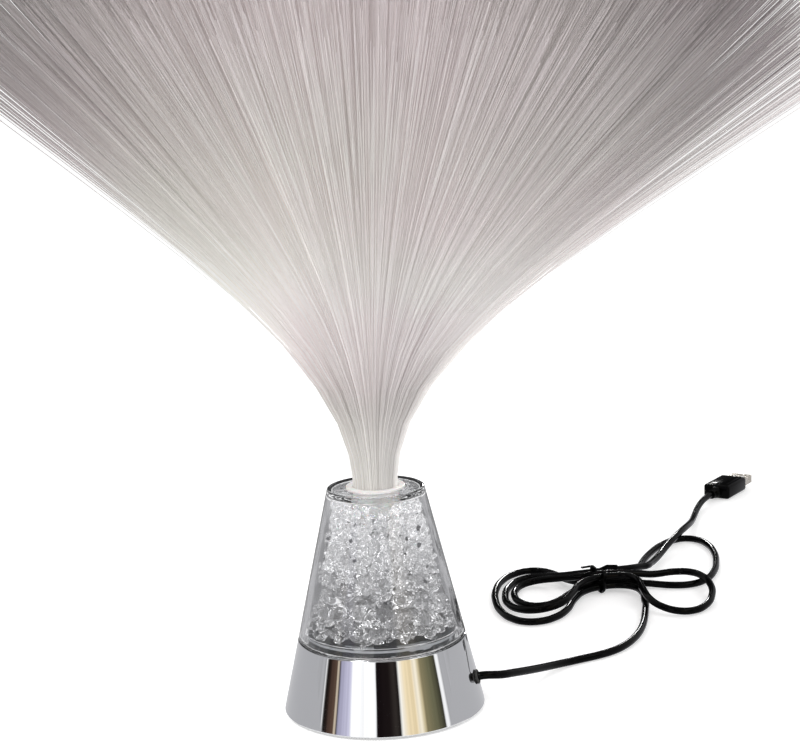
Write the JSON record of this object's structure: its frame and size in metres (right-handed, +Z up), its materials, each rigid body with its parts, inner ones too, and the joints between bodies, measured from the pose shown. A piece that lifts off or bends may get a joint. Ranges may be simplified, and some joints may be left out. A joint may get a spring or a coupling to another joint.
{
  "type": "fiber optic lamp",
  "caption": "Fiber optic lamp: chrome conical base, clear cone filled with faceted crystals, spray of optical fibres, push button underneath and a USB cord tied in a hank.",
  "frame": {"origin": "on the table under the cone's axis, 1.6 mm below the middle of the bottom cover's underside", "axes": "+Z up along the cone's axis, +X towards the side where the cord leaves, the viewer stands towards -Y"},
  "size_m": [0.3913, 0.5409, 0.3572],
  "materials": {
    "chrome": "polished",
    "black_plastic": "satin",
    "dark_plastic": "gloss",
    "rubber": "matte",
    "steel": "satin",
    "nickel": "satin",
    "contact_gold": "satin",
    "board": "satin",
    "led_resin": "gloss",
    "white_plastic": "satin",
    "clear_acrylic": "gloss",
    "crystal": "gloss",
    "fibre": "gloss",
    "cord_pvc": "satin",
    "red_pvc": "satin"
  },
  "bodies": {
    "lamp": {"base_shell": "chrome", "bottom_cover": "black_plastic", "foot_1": "rubber", "foot_2": "rubber", "foot_3": "rubber", "foot_4": "rubber", "cover_screw_1": "steel", "cover_screw_2": "steel", "cover_screw_3": "steel", "control_board": "board", "controller_chip": "black_plastic", "switch_body": "dark_plastic", "support_plate": "dark_plastic", "led_holder": "white_plastic", "led_board": "board", "led_centre": "led_resin", "led_side_1": "led_resin", "led_side_2": "led_resin", "led_side_3": "led_resin", "wire_positive": "red_pvc", "wire_negative": "cord_pvc", "clear_cone": "clear_acrylic", "centre_tube": "clear_acrylic", "light_rod": "clear_acrylic", "crystal_01": "crystal", "crystal_02": "crystal", "crystal_03": "crystal", "crystal_04": "crystal", "crystal_05": "crystal", "crystal_06": "crystal", "crystal_07": "crystal", "crystal_08": "crystal", "crystal_09": "crystal", "crystal_10": "crystal", "crystal_11": "crystal", "crystal_12": "crystal", "crystal_13": "crystal", "crystal_14": "crystal", "crystal_15": "crystal", "crystal_16": "crystal", "crystal_17": "crystal", "crystal_18": "crystal", "cord_grommet": "rubber", "inner_cord": "cord_pvc", "cord_lead": "cord_pvc", "cord_hank": "cord_pvc", "cord_tail": "cord_pvc", "twist_tie": "cord_pvc", "plug_boot": "black_plastic", "plug_overmold": "black_plastic", "plug_shell": "nickel", "plug_tongue": "white_plastic", "plug_contact_1": "contact_gold", "plug_contact_2": "contact_gold", "plug_contact_3": "contact_gold", "plug_contact_4": "contact_gold"},
    "button": {"mode_button": "dark_plastic"},
    "fibre_head": {"top_collar": "white_plastic", "fibre_core": "fibre", "fibre_spray": "fibre"}
  },
  "joints": [
    {"name": "mode_button_press", "type": "slide", "parent": "lamp", "child": "button", "axis": [0, 0, 1], "range_m": [0, 0.001], "stiffness_N_per_m": 300, "springref_m": -0.0005},
    {"name": "fibre_head_lift", "type": "slide", "parent": "lamp", "child": "fibre_head", "axis": [0, 0, 1], "range_m": [0, 0.012]}
  ]
}
